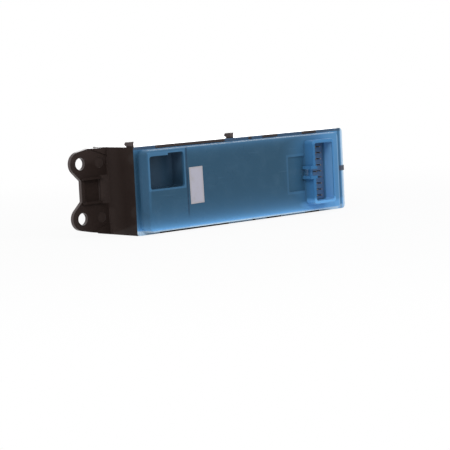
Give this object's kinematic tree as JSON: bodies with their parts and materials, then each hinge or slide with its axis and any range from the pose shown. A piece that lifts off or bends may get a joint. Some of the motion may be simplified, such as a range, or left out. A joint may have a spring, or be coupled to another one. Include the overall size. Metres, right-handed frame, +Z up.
{
  "type": "power window switch",
  "caption": "Driver's door power window switch seen mostly from its blue back cover: slim black case with screw ears, harness socket, rocker knobs and a lock button.",
  "frame": {"origin": "under the middle of the whole part, on the long edge it stands on", "axes": "+X runs along the case from the screw ears to the socket end, -Y is where the back cover and its socket face, +Y is where the knobs face, +Z goes up across the case"},
  "size_m": [0.1802, 0.056, 0.0486],
  "materials": {
    "black_plastic": "moulded black ABS with a faint warm grey bloom",
    "blue_plastic": "moulded slightly translucent steel-blue polypropylene, edges glow lighter",
    "label_paper": "matt off-white adhesive label with plain faint grey blocks",
    "tinned_brass": "tin-plated",
    "board_laminate": "green solder mask over glass-fibre laminate",
    "contact_copper": "bright rolled copper alloy",
    "frame_plastic": "natural grey acetal",
    "slider_plastic": "white acetal",
    "zinc_steel": "zinc-plated",
    "relay_plastic": "smooth moulded black",
    "chip_plastic": "matt epoxy",
    "can_aluminium": "bare can",
    "lamp_plastic": "clear amber lens",
    "clear_plastic": "polished clear acrylic",
    "knob_plastic": "fine-grained black ABS",
    "spring_steel": "bright drawn wire"
  },
  "bodies": {
    "case": {"housing": "black_plastic", "back_cover": "blue_plastic", "label": "label_paper", "connector_insert": "black_plastic", "terminals": "tinned_brass", "circuit_board": "board_laminate", "fixed_contacts": "contact_copper", "slider_frame": "frame_plastic", "board_screws": "zinc_steel", "relay": "relay_plastic", "control_chip": "chip_plastic", "capacitor": "can_aluminium", "lamps": "lamp_plastic", "light_guides": "clear_plastic", "window_lock_spring": "spring_steel", "door_lock_spring": "spring_steel", "driver_window_spring": "spring_steel", "passenger_window_spring": "spring_steel", "rear_left_window_spring": "spring_steel", "rear_right_window_spring": "spring_steel"},
    "door_lock_knob": {"door_lock_rocker": "knob_plastic"},
    "door_lock_carriage": {"door_lock_slider": "slider_plastic", "door_lock_contact": "contact_copper"},
    "driver_window_knob": {"driver_window_rocker": "knob_plastic"},
    "driver_window_carriage": {"driver_window_slider": "slider_plastic", "driver_window_contact": "contact_copper"},
    "passenger_window_knob": {"passenger_window_rocker": "knob_plastic"},
    "passenger_window_carriage": {"passenger_window_slider": "slider_plastic", "passenger_window_contact": "contact_copper"},
    "rear_left_window_knob": {"rear_left_window_rocker": "knob_plastic"},
    "rear_left_window_carriage": {"rear_left_window_slider": "slider_plastic", "rear_left_window_contact": "contact_copper"},
    "rear_right_window_knob": {"rear_right_window_rocker": "knob_plastic"},
    "rear_right_window_carriage": {"rear_right_window_slider": "slider_plastic", "rear_right_window_contact": "contact_copper"},
    "window_lock": {"window_lock_button": "knob_plastic", "window_lock_contact": "contact_copper"}
  },
  "joints": [
    {"name": "door_lock_rock", "type": "hinge", "parent": "case", "child": "door_lock_knob", "pos_m": [-0.0451, 0.01545, 0.0336], "axis": [0, 0, 1], "range_deg": [-6, 6], "stiffness_Nm_per_rad": 0.2},
    {"name": "door_lock_slide", "type": "slide", "parent": "case", "child": "door_lock_carriage", "axis": [1, 0, 0], "range_m": [-0.0029, 0.0029], "deforming": ["door_lock_spring"]},
    {"name": "driver_window_rock", "type": "hinge", "parent": "case", "child": "driver_window_knob", "pos_m": [-0.0031, 0.01545, 0.0124], "axis": [0, 0, 1], "range_deg": [-8, 8], "stiffness_Nm_per_rad": 0.2},
    {"name": "driver_window_slide", "type": "slide", "parent": "case", "child": "driver_window_carriage", "axis": [1, 0, 0], "range_m": [-0.0029, 0.0029], "deforming": ["driver_window_spring"]},
    {"name": "passenger_window_rock", "type": "hinge", "parent": "case", "child": "passenger_window_knob", "pos_m": [-0.0031, 0.01545, 0.0336], "axis": [0, 0, 1], "range_deg": [-8, 8], "stiffness_Nm_per_rad": 0.2},
    {"name": "passenger_window_slide", "type": "slide", "parent": "case", "child": "passenger_window_carriage", "axis": [1, 0, 0], "range_m": [-0.0029, 0.0029], "deforming": ["passenger_window_spring"]},
    {"name": "rear_left_window_rock", "type": "hinge", "parent": "case", "child": "rear_left_window_knob", "pos_m": [0.0389, 0.01545, 0.0124], "axis": [0, 0, 1], "range_deg": [-8, 8], "stiffness_Nm_per_rad": 0.2},
    {"name": "rear_left_window_slide", "type": "slide", "parent": "case", "child": "rear_left_window_carriage", "axis": [1, 0, 0], "range_m": [-0.0029, 0.0029], "deforming": ["rear_left_window_spring"]},
    {"name": "rear_right_window_rock", "type": "hinge", "parent": "case", "child": "rear_right_window_knob", "pos_m": [0.0389, 0.01545, 0.0336], "axis": [0, 0, 1], "range_deg": [-8, 8], "stiffness_Nm_per_rad": 0.2},
    {"name": "rear_right_window_slide", "type": "slide", "parent": "case", "child": "rear_right_window_carriage", "axis": [1, 0, 0], "range_m": [-0.0029, 0.0029], "deforming": ["rear_right_window_spring"]},
    {"name": "window_lock_press", "type": "slide", "parent": "case", "child": "window_lock", "axis": [0, -1, 0], "range_m": [0, 0.0025], "stiffness_N_per_m": 400, "deforming": ["window_lock_spring"]}
  ],
  "couplings": [
    {"joint": "door_lock_slide", "follows": "door_lock_rock", "m_per_rad": 0.0196},
    {"joint": "driver_window_slide", "follows": "driver_window_rock", "m_per_rad": 0.0196},
    {"joint": "passenger_window_slide", "follows": "passenger_window_rock", "m_per_rad": 0.0196},
    {"joint": "rear_left_window_slide", "follows": "rear_left_window_rock", "m_per_rad": 0.0196},
    {"joint": "rear_right_window_slide", "follows": "rear_right_window_rock", "m_per_rad": 0.0196}
  ]
}
